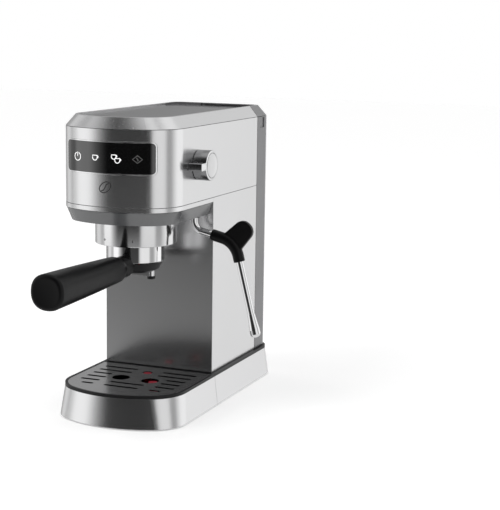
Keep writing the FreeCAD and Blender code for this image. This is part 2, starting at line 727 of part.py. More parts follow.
# ------------------------------------------------------------------ water tank
def water_tank():
    """Clear-sided tank that forms the back of the machine, open at the top."""
    floor_z = DECK_Z + 0.8
    outer = slab(BODY, floor_z, BEVEL_Z - 0.2).cut(before(TANK_FRONT))
    inner = slab(BODY, floor_z + 3, BEVEL_Z + 1, inset=WALL).cut(before(TANK_FRONT + WALL))
    tank = cut(outer, inner, rod(DOCK, VALVE_R, 30, 50))
    for side in (-1, 1):
        x = sorted((side * (BODY.half - 1.2), side * (BODY.half + 1)))
        tank = tank.cut(block(x, (140, 153.6), (313, 325.2)))
        reach = sorted((side * (KNUCKLE_HALF + 0.2), side * (HINGE_HALF + 0.4)))
        tank = tank.cut(rod(HINGE, KNUCKLE_R + 0.4, reach[0], reach[1], X))
    bracket = block((-KNUCKLE_HALF, KNUCKLE_HALF), (172, HINGE.y), (HINGE.z - KNUCKLE_R, BEVEL_Z - 0.2))
    knuckle = rod(HINGE, KNUCKLE_R, -KNUCKLE_HALF, KNUCKLE_HALF, X)
    save("water_tank", cut(fuse([tank, bracket, knuckle]), rod(HINGE, PIN_R, -30, 30, X)))


def tank_valve():
    floor_z = DECK_Z + 3.8
    profile = [(29.5, 1.5), (29.5, VALVE_R - 1), (30.5, VALVE_R), (floor_z, VALVE_R), (floor_z, 9.5)]
    rest = [(floor_z + 2, 9.5), (floor_z + 2, 4), (floor_z + 6, 3), (floor_z + 6, 1.5)]
    save("tank_valve", turned(profile + rest, DOCK, Z, X))


def tank_lid():
    """Lid that carries the top frame's slope round the back, with a finger notch in its rear rim."""
    outer = taper(BODY, BEVEL_Z + SEAM, TOP, TOP_Z).cut(before(TANK_FRONT))
    recess = slab(TOP, RECESS_Z, TOP_Z + 1, inset=RIM_FLAT)
    hollow = slab(TOP, BEVEL_Z - 1, RECESS_Z - 2.2, inset=RIM_FLAT + 2.2).cut(before(TANK_FRONT + 2.2))
    notch = block((-22, -17), (155, 166.4), (RECESS_Z - 1.5, TOP_Z + 1))
    finger = block((-17, 44), (160, 165.6), (RECESS_Z - 0.2, RECESS_Z + 1.5))
    lid = cut(outer, recess, hollow, notch, finger, rod(HINGE, KNUCKLE_R + 0.4, -9, 9, X))
    knuckles = []
    for side in (-1, 1):
        span = sorted((side * (KNUCKLE_HALF + 0.4), side * HINGE_HALF))
        knuckles.append(rod(HINGE, KNUCKLE_R, span[0], span[1], X))
        knuckles.append(block(span, (170.5, HINGE.y), (HINGE.z + 0.3, HINGE.z + KNUCKLE_R)))
    save("tank_lid", cut(fuse([lid, *knuckles]), rod(HINGE, PIN_R + 0.08, -30, 30, X)))


def lid_pin():
    save("lid_pin", rod(HINGE, PIN_R, -HINGE_HALF, HINGE_HALF, X))


# ------------------------------------------------------------------ the whole machine
BUILDERS = [
    base_plate, rubber_feet, base_screws, base_rear_skirt, base_deck, mains_inlet,
    tray_skirt, tray_rim, drip_tub, float_indicator, drip_grid,
    column_front_panel, inner_frame, head_shell, display_frame, display_glass, touch_board,
    trim_band, head_pan, top_frame, cup_plate,
    group_collar, group_head, group_gasket, shower_screen, shower_screw, thermoblock,
    pump, pump_mounts, steam_valve, supply_hose, brew_hose, valve_hose, steam_hose,
    control_board, tank_dock,
    filter_body, filter_funnel, twin_spout, handle_ferrule, handle_grip, handle_bolt,
    filter_basket, basket_spring,
    knob_cap, knob_face, knob_shaft,
    wand_gland, steam_pipe, wand_sleeve, wand_nozzle,
    water_tank, tank_valve, tank_lid, lid_pin,
]

for build in BUILDERS:
    build()
column_side_panel(-1, "column_left_panel")
column_side_panel(1, "column_right_panel")
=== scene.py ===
"""Looks of the slim espresso machine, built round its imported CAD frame.

Metres, in the CAD frame: +Z up, front towards -Y, and the column's front face at Y = 0. Pieces take their
places from the boxes of the CAD nodes. Nodes with the right shape keep it and get a finish; six are replaced by
finer meshes.
"""

import json
import math
from collections import namedtuple

import bmesh
import bpy
from mathutils import Matrix, Vector
from mathutils.bvhtree import BVHTree


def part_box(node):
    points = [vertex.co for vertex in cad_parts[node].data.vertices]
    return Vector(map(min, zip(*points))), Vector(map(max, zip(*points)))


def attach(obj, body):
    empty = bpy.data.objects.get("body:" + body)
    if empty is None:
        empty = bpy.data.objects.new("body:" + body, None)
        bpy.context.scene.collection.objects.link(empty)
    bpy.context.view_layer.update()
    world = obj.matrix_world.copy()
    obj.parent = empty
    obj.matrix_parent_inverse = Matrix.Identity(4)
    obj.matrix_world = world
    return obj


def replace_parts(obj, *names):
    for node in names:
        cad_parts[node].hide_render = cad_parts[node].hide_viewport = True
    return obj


MM = 0.001

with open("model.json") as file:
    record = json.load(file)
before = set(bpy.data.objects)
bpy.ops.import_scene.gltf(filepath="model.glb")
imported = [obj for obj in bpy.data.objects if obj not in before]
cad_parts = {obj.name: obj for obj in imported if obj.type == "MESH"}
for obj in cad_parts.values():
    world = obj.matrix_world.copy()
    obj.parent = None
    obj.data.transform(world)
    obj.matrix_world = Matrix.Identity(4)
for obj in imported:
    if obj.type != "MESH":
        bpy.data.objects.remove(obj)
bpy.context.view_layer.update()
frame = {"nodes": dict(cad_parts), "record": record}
NODES = frame["nodes"]
SCENE = bpy.context.scene


# ------------------------------------------------------------------ camera, studio and floor
CAMERA_PLACE = Vector((0.6860, -1.4166, 0.4419))
CAMERA_AZIMUTH, CAMERA_ELEVATION, CAMERA_ROLL = 21.98, 9.71, 0.83
LENS_MM = 96.88


def set_view():
    """Plain display of brightness, so that white stays white."""
    SCENE.view_settings.view_transform = "Standard"
    SCENE.view_settings.look = "None"


def make_camera():
    azimuth, elevation = math.radians(CAMERA_AZIMUTH), math.radians(CAMERA_ELEVATION)
    back = Vector((
        math.sin(azimuth) * math.cos(elevation),
        -math.cos(azimuth) * math.cos(elevation),
        math.sin(elevation),
    ))
    data = bpy.data.cameras.new("camera")
    data.lens = LENS_MM
    data.sensor_width = 36.0
    data.clip_end = 20.0
    camera = bpy.data.objects.new("camera", data)
    SCENE.collection.objects.link(camera)
    turn = back.to_track_quat("Z", "Y").to_matrix() @ Matrix.Rotation(math.radians(CAMERA_ROLL), 3, "Z")
    camera.matrix_world = Matrix.Translation(CAMERA_PLACE) @ turn.to_4x4()
    SCENE.camera = camera


# The studio is a pale round room with cards standing in it. A card runs between two azimuths in degrees, where 0
# is straight in front of the machine and positive is to its right. Its ends fade over soft_in and soft_out
# degrees, and it reaches from bottom to top, the heights of a direction above the horizon from -1 to 1. LOWEST and
# HIGHEST lie past every direction, for a card without a lower or an upper end.
Card = namedtuple("Card", "start end soft_in soft_out level bottom top")
LOWEST, HIGHEST = -2.0, 2.0
ROOM_LEVEL = 0.86
CARDS = (
    Card(-160, -118, 10, 8, 0.45, LOWEST, HIGHEST),       # dim wall behind, to the left
    Card(-92, -74, 6, 4, 0.60, LOWEST, HIGHEST),          # grey flag beside the left softbox
    Card(-74, -46, 4, 8, 1.20, LOWEST, 0.62),             # left softbox
    Card(-100, 40, 14, 6, 0.24, 0.68, HIGHEST),           # dim wall above the left softbox and the front
    Card(-38, 40, 15, 6, 0.030, LOWEST, 0.84),            # dark front of the room, where the camera stands
    Card(48, 80, 5, 5, 0.95, LOWEST, HIGHEST),            # right softbox
    Card(84, 106, 5, 8, 0.42, LOWEST, HIGHEST),           # gap behind the right softbox
    Card(118, 154, 8, 6, 1.15, LOWEST, HIGHEST),          # rear softbox
)
CARD_FADE = 0.12
CEILING_LEVEL = 1.05
CEILING_FROM, CEILING_FULL = 0.84, 0.98
GROUND_LEVEL = 0.80
GROUND_FROM, GROUND_FULL = 0.12, 0.55


def node(tree, kind, **settings):
    """A new shader node, with its unlinked inputs set by name."""
    made = tree.nodes.new(kind)
    for name, value in settings.items():
        made.inputs[name].default_value = value
    return made


def math_node(tree, operation, a, b=None):
    """A Math node on links or numbers, giving its output."""
    made = tree.nodes.new("ShaderNodeMath")
    made.operation = operation
    for slot, value in enumerate((a, b)):
        if value is None:
            continue
        if isinstance(value, (int, float)):
            made.inputs[slot].default_value = value
        else:
            tree.links.new(value, made.inputs[slot])
    return made.outputs[0]


RAMP_FROM, RAMP_TO = 0.3, 0.7    # most of a noise's values lie between these


def ramp(tree, value, low, high):
    """Greys or colours from low to high over the middle range of a noise."""
    made = tree.nodes.new("ShaderNodeValToRGB")
    made.color_ramp.interpolation = "LINEAR"
    stops = ((RAMP_FROM, low), (RAMP_TO, high))
    for element, (place, colour) in zip(made.color_ramp.elements, stops):
        element.position = place
        grey = isinstance(colour, (int, float))
        element.color = (colour, colour, colour, 1) if grey else (*colour, 1)
    tree.links.new(value, made.inputs[0])
    return made.outputs[0]


def mix(tree, factor, a, b):
    """A colour Mix node on links, greys or colours."""
    made = tree.nodes.new("ShaderNodeMix")
    made.data_type = "RGBA"
    for slot, value in ((0, factor), (6, a), (7, b)):
        if isinstance(value, (int, float)):
            made.inputs[slot].default_value = value if slot == 0 else (value, value, value, 1)
        elif isinstance(value, tuple):
            made.inputs[slot].default_value = (*value, 1)
        else:
            tree.links.new(value, made.inputs[slot])
    return made.outputs[2]


def smooth_step(tree, value, low, high):
    """0 below low, 1 above high, and a smooth rise between them."""
    made = tree.nodes.new("ShaderNodeMapRange")
    made.interpolation_type = "SMOOTHSTEP"
    made.inputs["From Min"].default_value = low
    made.inputs["From Max"].default_value = high
    tree.links.new(value, made.inputs["Value"])
    return made.outputs["Result"]


def card_mask(tree, azimuth, z, card):
    """Where a card stands: 1 on it, 0 off it."""
    begins = smooth_step(tree, azimuth, card.start - card.soft_in, card.start + card.soft_in)
    ends = smooth_step(tree, azimuth, card.end - card.soft_out, card.end + card.soft_out)
    across = math_node(tree, "SUBTRACT", begins, ends)
    over_bottom = smooth_step(tree, z, card.bottom - CARD_FADE, card.bottom + CARD_FADE)
    over_top = smooth_step(tree, z, card.top - CARD_FADE, card.top + CARD_FADE)
    return math_node(tree, "MULTIPLY", across, math_node(tree, "SUBTRACT", over_bottom, over_top))


def make_studio():
    """The room that the metal reflects. The camera sees plain white in its place."""
    world = bpy.data.worlds.new("studio")
    SCENE.world = world
    world.use_nodes = True
    tree = world.node_tree
    tree.nodes.clear()
    place = tree.nodes.new("ShaderNodeTexCoord")
    axes = tree.nodes.new("ShaderNodeSeparateXYZ")
    tree.links.new(place.outputs["Generated"], axes.inputs[0])
    x, y, z = axes.outputs
    turn = math_node(tree, "ARCTAN2", x, math_node(tree, "MULTIPLY", y, -1.0))
    azimuth = math_node(tree, "DEGREES", turn)
    light = ROOM_LEVEL
    for card in CARDS:
        light = mix(tree, card_mask(tree, azimuth, z, card), light, card.level)
    light = mix(tree, smooth_step(tree, z, CEILING_FROM, CEILING_FULL), light, CEILING_LEVEL)
    below = math_node(tree, "MULTIPLY", z, -1.0)
    light = mix(tree, smooth_step(tree, below, GROUND_FROM, GROUND_FULL), light, GROUND_LEVEL)
    ray = tree.nodes.new("ShaderNodeLightPath")
    seen = mix(tree, ray.outputs["Is Camera Ray"], light, 1.0)
    background = tree.nodes.new("ShaderNodeBackground")
    tree.links.new(seen, background.inputs["Color"])
    out = tree.nodes.new("ShaderNodeOutputWorld")
    tree.links.new(background.outputs[0], out.inputs[0])


KEY_SIZE = 0.9
KEY_WATTS = 9.0
KEY_PLACE = Vector((-0.7, -0.9, 1.5))
KEY_AIM = Vector((0, -0.05, 0.2))


def make_key_light():
    """A large soft lamp high up in front, to the left, for the shape of the black plastics."""
    data = bpy.data.lights.new("key", "AREA")
    data.shape = "DISK"
    data.size = KEY_SIZE
    data.energy = KEY_WATTS
    lamp = bpy.data.objects.new("key", data)
    SCENE.collection.objects.link(lamp)
    lamp.visible_glossy = False
    lamp.location = KEY_PLACE
    lamp.rotation_euler = (KEY_AIM - KEY_PLACE).to_track_quat("-Z", "Y").to_euler()


FLOOR_REACH = 6.0
FLOOR_GLOW = 0.34    # keeps the floor as white as what lies behind it


def make_floor():
    """Pale table top under the feet. Metal reflects the studio's own ground in its place."""
    mesh = bpy.data.meshes.new("floor")
    corners = [(x * FLOOR_REACH, y * FLOOR_REACH, 0) for x, y in ((-1, -1), (1, -1), (1, 1), (-1, 1))]
    mesh.from_pydata(corners, [], [(0, 1, 2, 3)])
    floor = bpy.data.objects.new("floor", mesh)
    SCENE.collection.objects.link(floor)
    floor.visible_glossy = False
    material, tree, shader = new_material("floor_pale")
    shader.inputs["Base Color"].default_value = (0.95, 0.95, 0.95, 1)
    shader.inputs["Roughness"].default_value = 0.9
    shader.inputs["Specular IOR Level"].default_value = 0.0
    shader.inputs["Emission Color"].default_value = (1, 1, 1, 1)
    shader.inputs["Emission Strength"].default_value = FLOOR_GLOW
    mesh.materials.append(material)


# ------------------------------------------------------------------ materials
def new_material(name):
    """A node material, with its tree and its one Principled shader."""
    material = bpy.data.materials.new(name)
    material.use_nodes = True
    tree = material.node_tree
    return material, tree, tree.nodes["Principled BSDF"]


def stretched_noise(tree, stretch, scale, detail=4.0):
    """Noise over the piece's own coordinates in metres, drawn out along the axes with a small stretch."""
    place = tree.nodes.new("ShaderNodeTexCoord")
    mapping = tree.nodes.new("ShaderNodeMapping")
    mapping.inputs["Scale"].default_value = stretch
    tree.links.new(place.outputs["Object"], mapping.inputs["Vector"])
    noise = node(tree, "ShaderNodeTexNoise", Scale=scale, Detail=detail, Roughness=0.6)
    tree.links.new(mapping.outputs[0], noise.inputs["Vector"])
    return noise.outputs["Fac"]


EDGE_ROUND = 0.35 * MM


def bump(tree, shader, height, depth, strength=1.0):
    """A bump of the given depth in metres from a height of 0 to 1, over edges that catch light as if rounded."""
    made = node(tree, "ShaderNodeBump", Strength=strength, Distance=depth)
    edges = tree.nodes.new("ShaderNodeBevel")
    edges.samples = 4
    edges.inputs["Radius"].default_value = EDGE_ROUND
    tree.links.new(height, made.inputs["Height"])
    tree.links.new(edges.outputs[0], made.inputs["Normal"])
    tree.links.new(made.outputs[0], shader.inputs["Normal"])


def metal(name, colour, roughness, grain, scale=220.0, spread=0.05, depth=0.00001):
    """A metal with a fine grain in its colour, roughness and surface, drawn out by the grain's stretch."""
    material, tree, shader = new_material(name)
    shader.inputs["Metallic"].default_value = 1.0
    fine = stretched_noise(tree, grain, scale)
    broad = stretched_noise(tree, (1, 1, 1), 14.0, 2.0)
    dark = tuple(c * (1 - spread) for c in colour)
    light = tuple(min(c * (1 + spread), 1.0) for c in colour)
    tint = ramp(tree, fine, dark, light)
    tree.links.new(mix(tree, 0.25, tint, mix(tree, broad, dark, light)), shader.inputs["Base Color"])
    rough = ramp(tree, fine, roughness * 0.85, roughness * 1.15)
    tree.links.new(rough, shader.inputs["Roughness"])
    bump(tree, shader, fine, depth, 0.25)
    return material


def plastic(name, colour, roughness, scale=900.0, depth=0.00004, specular=0.5, ior=1.5):
    """A moulded plastic, glass or rubber with a fine spark-eroded texture."""
    material, tree, shader = new_material(name)
    shader.inputs["Specular IOR Level"].default_value = specular
    shader.inputs["IOR"].default_value = ior
    grain = stretched_noise(tree, (1, 1, 1), scale, 3.0)
    broad = stretched_noise(tree, (1, 1, 1), 22.0, 2.0)
    dark = tuple(c * 0.85 for c in colour)
    light = tuple(min(c * 1.2, 1.0) for c in colour)
    tree.links.new(mix(tree, broad, dark, light), shader.inputs["Base Color"])
    rough = ramp(tree, broad, roughness * 0.92, min(roughness * 1.08, 1.0))
    tree.links.new(rough, shader.inputs["Roughness"])
    bump(tree, shader, grain, depth, 0.35)
    return material


def lit_ink(name, grey, glow):
    """Printing on the display that is lit from behind, a little uneven like a diffuser."""
    material, tree, shader = new_material(name)
    broad = stretched_noise(tree, (1, 1, 1), 300.0, 2.0)
    shade = ramp(tree, broad, grey * 0.9, grey)
    tree.links.new(shade, shader.inputs["Base Color"])
    tree.links.new(shade, shader.inputs["Emission Color"])
    shader.inputs["Emission Strength"].default_value = glow
    shader.inputs["Roughness"].default_value = 0.5
    return material


def make_materials():
    """Every finish by its slot name in the record."""
    level, upright, even = (1, 1, 22), (22, 22, 1), (1, 1, 1)
    steel = (0.72, 0.72, 0.725)
    return {
        "shell_steel": metal("shell_steel", steel, 0.22, upright, 240),
        "grid_steel": metal("grid_steel", (0.47, 0.47, 0.475), 0.24, (2, 30, 30), 240),
        "top_satin": metal("top_satin", (0.64, 0.64, 0.645), 0.24, even, 500, 0.03, 0.000003),
        "pan_grey": plastic("pan_grey", (0.085, 0.087, 0.09), 0.24, ior=2.0),
        "cup_grey": metal("cup_grey", (0.25, 0.25, 0.255), 0.40, (30, 2, 30), 240),
        "black_plastic": plastic("black_plastic", (0.006, 0.006, 0.0065), 0.40, specular=0.25),
        "grip_black": plastic("grip_black", (0.0038, 0.0038, 0.0041), 0.38, specular=0.17),
        "polished": metal("polished", (0.80, 0.80, 0.805), 0.06, even, 60, 0.02, 0.000004),
        "collar_steel": metal("collar_steel", (0.70, 0.70, 0.705), 0.13, level, 240),
        "knob_satin": metal("knob_satin", (0.70, 0.70, 0.705), 0.20, even, 500, 0.03, 0.000004),
        # painted shade: a darker copy of the knob's metal, for the sides of its cap and its lever
        "knob_painted_shade": metal("knob_painted_shade", (0.27, 0.27, 0.275), 0.24, (1, 22, 22), 300, 0.08, 0.000005),
        "display_black": plastic("display_black", (0.0012, 0.0012, 0.0014), 0.06, 40.0, 0.000001, ior=1.95),
        "circuit_board": plastic("circuit_board", (0.03, 0.14, 0.08), 0.4),
        "soft_rubber": plastic("soft_rubber", (0.02, 0.02, 0.02), 0.75),
        "hose_silicone": plastic("hose_silicone", (0.72, 0.72, 0.70), 0.45),
        "cast_alloy": metal("cast_alloy", (0.58, 0.58, 0.58), 0.45, even, 500, 0.1, 0.00005),
        "valve_brass": metal("valve_brass", (0.70, 0.53, 0.27), 0.25, even, 500),
        "inner_steel": metal("inner_steel", (0.68, 0.68, 0.68), 0.22, even, 500),
        "frame_plastic": plastic("frame_plastic", (0.05, 0.05, 0.052), 0.5),
        "tank_smoke": plastic("tank_smoke", (0.16, 0.16, 0.165), 0.16, 200.0, 0.000004),
        "float_red": plastic("float_red", (0.30, 0.008, 0.024), 0.35, specular=0.3),
        "symbol_white": lit_ink("symbol_white", 0.92, 0.55),
        "symbol_dim": lit_ink("symbol_dim", 0.13, 0.10),
        "mark_grey": plastic("mark_grey", (0.02, 0.02, 0.021), 0.5),
    }


def dress_nodes(materials):
    """Gives each CAD node the finish that the record names for it."""
    slots = {part["node"]: part["material_slot"] for part in frame["record"]["subparts"]}
    for name, obj in NODES.items():
        obj.material_slots[0].material = materials[slots[name]]


# ------------------------------------------------------------------ mesh helpers
def finish_piece(name, bm, body, slot, material=None, sharp_degrees=40.0):
    """Turns a bmesh into a piece of the machine that rides on a body."""
    bmesh.ops.recalc_face_normals(bm, faces=bm.faces)
    mesh = bpy.data.meshes.new(name)
    bm.to_mesh(mesh)
    bm.free()
    mesh.shade_smooth()
    mesh.set_sharp_from_angle(angle=math.radians(sharp_degrees))
    mesh.materials.append(MATERIALS[material or slot])
    piece = bpy.data.objects.new(name, mesh)
    SCENE.collection.objects.link(piece)
    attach(piece, body)
    return piece


def finish_faces(piece, finish, wanted):
    """Gives a second finish to the faces that wanted() picks by middle and normal."""
    piece.data.materials.append(MATERIALS[finish])
    for face in piece.data.polygons:
        if wanted(face.center, face.normal):
            face.material_index = 1


def copy_node(name):
    """A bmesh of a CAD node's own mesh, to work on."""
    bm = bmesh.new()
    bm.from_mesh(NODES[name].data)
    return bm


def bridge(bm, lower, upper):
    """Quads between two rings of vertices of the same count."""
    count = len(lower)
    for i in range(count):
        j = (i + 1) % count
        bm.faces.new((lower[i], lower[j], upper[j], upper[i]))


def loft(bm, rings, capped=True):
    """A skin through rings of points, with flat ends if it is capped."""
    made = [[bm.verts.new(point) for point in ring] for ring in rings]
    for lower, upper in zip(made, made[1:]):
        bridge(bm, lower, upper)
    if capped:
        bm.faces.new(made[0])
        bm.faces.new(made[-1])
    return made


def turned_rings(profile, origin, axis, segments=96):
    """Rings about a line through origin, for (distance, radius) pairs along axis."""
    axis = Vector(axis).normalized()
    side = axis.orthogonal().normalized()
    across = axis.cross(side)
    rings = []
    for distance, radius in profile:
        angles = [2 * math.pi * i / segments for i in range(segments)]
        centre = origin + axis * distance
        rings.append([centre + (side * math.cos(a) + across * math.sin(a)) * radius for a in angles])
    return rings


def quarter(along, radius, round_along, round_radius, steps=6, opening=True):
    """(distance, radius) pairs round a quarter turn, opening out to a full radius or closing in from it."""
    pairs = []
    for i in range(steps + 1):
        t = math.pi / 2 * i / steps
        if opening:
            pairs.append((along + round_along * (1 - math.cos(t)), radius - round_radius * (1 - math.sin(t))))
        else:
            pairs.append((along - round_along * (1 - math.sin(t)), radius - round_radius * (1 - math.cos(t))))
    return pairs


def box_middle(name):
    """The middle of a CAD node's box."""
    low, high = (Vector(corner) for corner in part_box(name))
    return (low + high) / 2


# ------------------------------------------------------------------ portafilter handle
GRIP_NEAR_SHARE = 0.762   # radius at the near end over the radius at the far end
GRIP_SQUARE = 2.3         # 2 is a round section, more is squarer
GRIP_NEAR_ROUND = 7 * MM
GRIP_FAR_ROUND = 4 * MM
GRIP_SWELL = 0.35 * MM
GRIP_RING = 72            # points round each ring


def super_round(angle, radius):
    """A point of a slightly squared circle."""
    power = 2 / GRIP_SQUARE
    c, s = math.cos(angle), math.sin(angle)
    return math.copysign(abs(c) ** power, c) * radius, math.copysign(abs(s) ** power, s) * radius


def make_handle_grip():
    """Moulded grip: it swells towards its flat end and is rounded at both ends."""
    low, high = (Vector(corner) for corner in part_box("handle_grip"))
    axis_x, axis_z = (low.x + high.x) / 2, (low.z + high.z) / 2
    far_radius = (high.x - low.x) / 2
    near_radius = far_radius * GRIP_NEAR_SHARE
    length = high.y - low.y
    profile = quarter(0.0, near_radius, GRIP_NEAR_ROUND, 3.6 * MM)
    steps = 14
    for i in range(1, steps):
        t = i / steps
        swell = math.sin(math.pi * t) * GRIP_SWELL
        span = GRIP_NEAR_ROUND + (length - GRIP_NEAR_ROUND - GRIP_FAR_ROUND) * t
        profile.append((span, near_radius + (far_radius - near_radius) * t + swell))
    profile += quarter(length, far_radius, GRIP_FAR_ROUND, GRIP_FAR_ROUND, opening=False)
    profile += [(length - 0.25 * MM, far_radius - GRIP_FAR_ROUND - 1.2 * MM)]
    rings = []
    for distance, radius in profile:
        ring = []
        for i in range(GRIP_RING):
            x, z = super_round(2 * math.pi * i / GRIP_RING, radius)
            ring.append(Vector((axis_x + x, high.y - distance, axis_z + z)))
        rings.append(ring)
    bm = bmesh.new()
    loft(bm, rings)
    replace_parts(finish_piece("handle_grip_moulded", bm, "portafilter", "grip_black"), "handle_grip")


# ------------------------------------------------------------------ steam knob
LEVER_HALF = 4.3 * MM
LEVER_ROUND = 1.6 * MM
KNOB_EDGE = 0.7 * MM
FACE_GROOVE = 0.6 * MM    # gap round the face disc
GROOVE_DEPTH = 1.2 * MM


def knob_outline(radius, reach, inset):
    """The knob's outline seen from its face as (forward, up) points: a disc with a lever out of its front."""
    r, half, tip = radius - inset, LEVER_HALF - inset, reach - inset
    corner = max(LEVER_ROUND - inset, 0.3 * MM)
    meet = math.asin(half / r)
    points = []
    steps = 72
    for i in range(steps + 1):
        a = meet + (2 * math.pi - 2 * meet) * i / steps
        points.append((r * math.cos(a), r * math.sin(a)))
    root = r * math.cos(meet)
    for i in range(1, 4):
        points.append((root + (tip - corner - root) * i / 4, -half))
    for turn, up in ((-math.pi / 2, -1), (0, 1)):
        for i in range(6):
            a = turn + math.pi / 2 * i / 5
            points.append((tip - corner + corner * math.cos(a), up * (half - corner) + corner * math.sin(a)))
    for i in range(3, 0, -1):
        points.append((root + (tip - corner - root) * i / 4, half))
    return points


def make_knob():
    """Turned cap with its lever and a groove round a separate face disc; its sides and lever are darker as painted
    shade.
    """
    low, high = (Vector(corner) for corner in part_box("knob_cap"))
    face_low, face_high = (Vector(corner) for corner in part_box("knob_face"))
    centre_y, centre_z = (face_low.y + face_high.y) / 2, (face_low.z + face_high.z) / 2
    radius = (high.z - low.z) / 2
    face_radius = (face_high.z - face_low.z) / 2
    reach = centre_y - low.y

    def place(x, points):
        return [Vector((x, centre_y - forward, centre_z + up)) for forward, up in points]

    levels = [(low.x, 0.4 * MM), (low.x + 0.4 * MM, 0.0), (high.x - KNOB_EDGE, 0.0)]
    levels += [(high.x - KNOB_EDGE * 0.3, KNOB_EDGE * 0.3), (high.x, KNOB_EDGE)]
    rings = [place(x, knob_outline(radius, reach, inset)) for x, inset in levels]
    angles = [math.atan2(up, forward) for forward, up in knob_outline(radius, reach, KNOB_EDGE)]
    r = face_radius + FACE_GROOVE
    for x in (high.x, high.x - GROOVE_DEPTH):
        rings.append(place(x, [(r * math.cos(a), r * math.sin(a)) for a in angles]))
    bm = bmesh.new()
    loft(bm, rings)
    cap = finish_piece("knob_cap_turned", bm, "knob", "knob_satin")
    # painted shade: all faces but the outward face take the darker copy of the knob's metal
    finish_faces(cap, "knob_painted_shade", lambda middle, normal: normal.x < 0.5)
    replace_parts(cap, "knob_cap")

    start = face_low.x
    depth = face_high.x - start
    profile = [(0, face_radius), *quarter(depth, face_radius, 0.5 * MM, 0.5 * MM, opening=False)]
    profile += [(depth - 0.12 * MM, face_radius - 1.6 * MM), (depth - 0.2 * MM, face_radius * 0.4)]
    bm = bmesh.new()
    loft(bm, turned_rings(profile, Vector((start, centre_y, centre_z)), (1, 0, 0)))
    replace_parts(finish_piece("knob_face_disc", bm, "knob", "knob_satin"), "knob_face")


# ------------------------------------------------------------------ steam wand
SLEEVE_VOXEL = 0.6 * MM


def make_wand_sleeve():
    """The soft grip, with the sleeve and the paddle run into each other as one moulding."""
    source = bpy.data.objects.new("sleeve_source", NODES["wand_sleeve"].data.copy())
    SCENE.collection.objects.link(source)
    remesh = source.modifiers.new("remesh", "REMESH")
    remesh.mode = "VOXEL"
    remesh.voxel_size = SLEEVE_VOXEL
    smooth = source.modifiers.new("smooth", "SMOOTH")
    smooth.factor = 0.5
    smooth.iterations = 10
    bpy.context.view_layer.update()
    mesh = bpy.data.meshes.new_from_object(source.evaluated_get(bpy.context.evaluated_depsgraph_get()))
    bpy.data.objects.remove(source)
    bm = bmesh.new()
    bm.from_mesh(mesh)
    bpy.data.meshes.remove(mesh)
    sleeve = finish_piece("wand_sleeve_moulded", bm, "wand", "grip_black", sharp_degrees=70.0)
    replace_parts(sleeve, "wand_sleeve")


# ------------------------------------------------------------------ drip grid and spouts
def make_drip_grid():
    """The slotted plate, bright on top, with painted shade: the walls of its slots and holes and its underside
    take the black finish.
    """
    top = Vector(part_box("drip_grid")[1]).z
    grid = finish_piece("drip_grid_brushed", copy_node("drip_grid"), "grid", "grid_steel")
    # painted shade: the slot and hole walls and the underside get the black plastic finish in place of their own
    # steel
    finish_faces(grid, "black_plastic", lambda middle, normal: abs(normal.z) < 0.5 or middle.z < top - 0.3 * MM)
    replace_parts(grid, "drip_grid")


SPOUT_RADIUS = 3.9 * MM
TIP_HEIGHT = 3.0 * MM
TIP_WALL = 0.6 * MM
TIP_HANG = 0.4 * MM
TIP_CLEARANCE = 0.02 * MM
TIP_LIP = 0.05 * MM
TIP_OVERLAP = 1.2 * MM     # how far a ring covers the end of its tube


def make_spout_tips():
    """Black rings round the mouths of the two spouts."""
    low, high = (Vector(corner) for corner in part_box("twin_spout"))
    reach = (high.x - low.x) / 2 - SPOUT_RADIUS
    middle = (low + high) / 2
    outer, inner = SPOUT_RADIUS + TIP_WALL, SPOUT_RADIUS - TIP_OVERLAP
    for side, name in ((-1, "spout_tip_left"), (1, "spout_tip_right")):
        origin = Vector((middle.x + side * reach, middle.y, low.z))
        outside = [*quarter(-TIP_HANG, outer, 0.4 * MM, 0.4 * MM), (TIP_HEIGHT, outer)]
        bore = SPOUT_RADIUS + TIP_CLEARANCE
        lip = -TIP_LIP
        inside = [(TIP_HEIGHT, bore), (lip, bore), (lip, inner), (-TIP_HANG, inner)]
        bm = bmesh.new()
        made = loft(bm, turned_rings(outside + inside, origin, (0, 0, 1), 48), capped=False)
        bridge(bm, made[-1], made[0])
        finish_piece(name, bm, "portafilter", "black_plastic")


# ------------------------------------------------------------------ brew group
COLLAR_WALL = 2.6 * MM
COLLAR_ROUND = 0.9 * MM


def make_group_collar():
    """Polished cylinder round the bayonet, with a rolled lower lip."""
    low, high = (Vector(corner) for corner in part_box("group_collar"))
    radius = (high.x - low.x) / 2
    height = high.z - low.z
    origin = Vector(((low.x + high.x) / 2, (low.y + high.y) / 2, low.z))
    outside = [*quarter(0.0, radius, COLLAR_ROUND, COLLAR_ROUND), (height, radius)]
    inner = radius - COLLAR_WALL
    inside = [(height, inner), (COLLAR_ROUND, inner), (0.2 * MM, inner + 0.3 * MM), (0.0, inner + COLLAR_ROUND)]
    bm = bmesh.new()
    made = loft(bm, turned_rings(outside + inside, origin, (0, 0, 1), 128), capped=False)
    bridge(bm, made[-1], made[0])
    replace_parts(finish_piece("group_collar_turned", bm, "housing", "collar_steel"), "group_collar")


# ------------------------------------------------------------------ printed symbols
SYMBOL_PLACES = (-36.4 * MM, -12.4 * MM, 12.4 * MM, 35.3 * MM)    # X of power, one cup, two cups and steam
STROKE = 0.85 * MM
INK_PROUD = 0.10 * MM
INK_SUNK = 0.15 * MM


def surface_finder(name):
    """A function that gives the front surface's Y of a CAD node at an X and a Z."""
    mesh = NODES[name].data
    tree = BVHTree.FromPolygons([v.co for v in mesh.vertices], [p.vertices for p in mesh.polygons])

    def find(x, z):
        hit = tree.ray_cast(Vector((x, -1.0, z)), Vector((0, 1, 0)))[0]
        return hit.y

    return find


def arc_points(x, z, radius, start, end, steps=24):
    """Points round an arc in the X and Z plane, between two angles in degrees."""
    angles = [math.radians(start + (end - start) * i / steps) for i in range(steps + 1)]
    return [(x + radius * math.cos(a), z + radius * math.sin(a)) for a in angles]


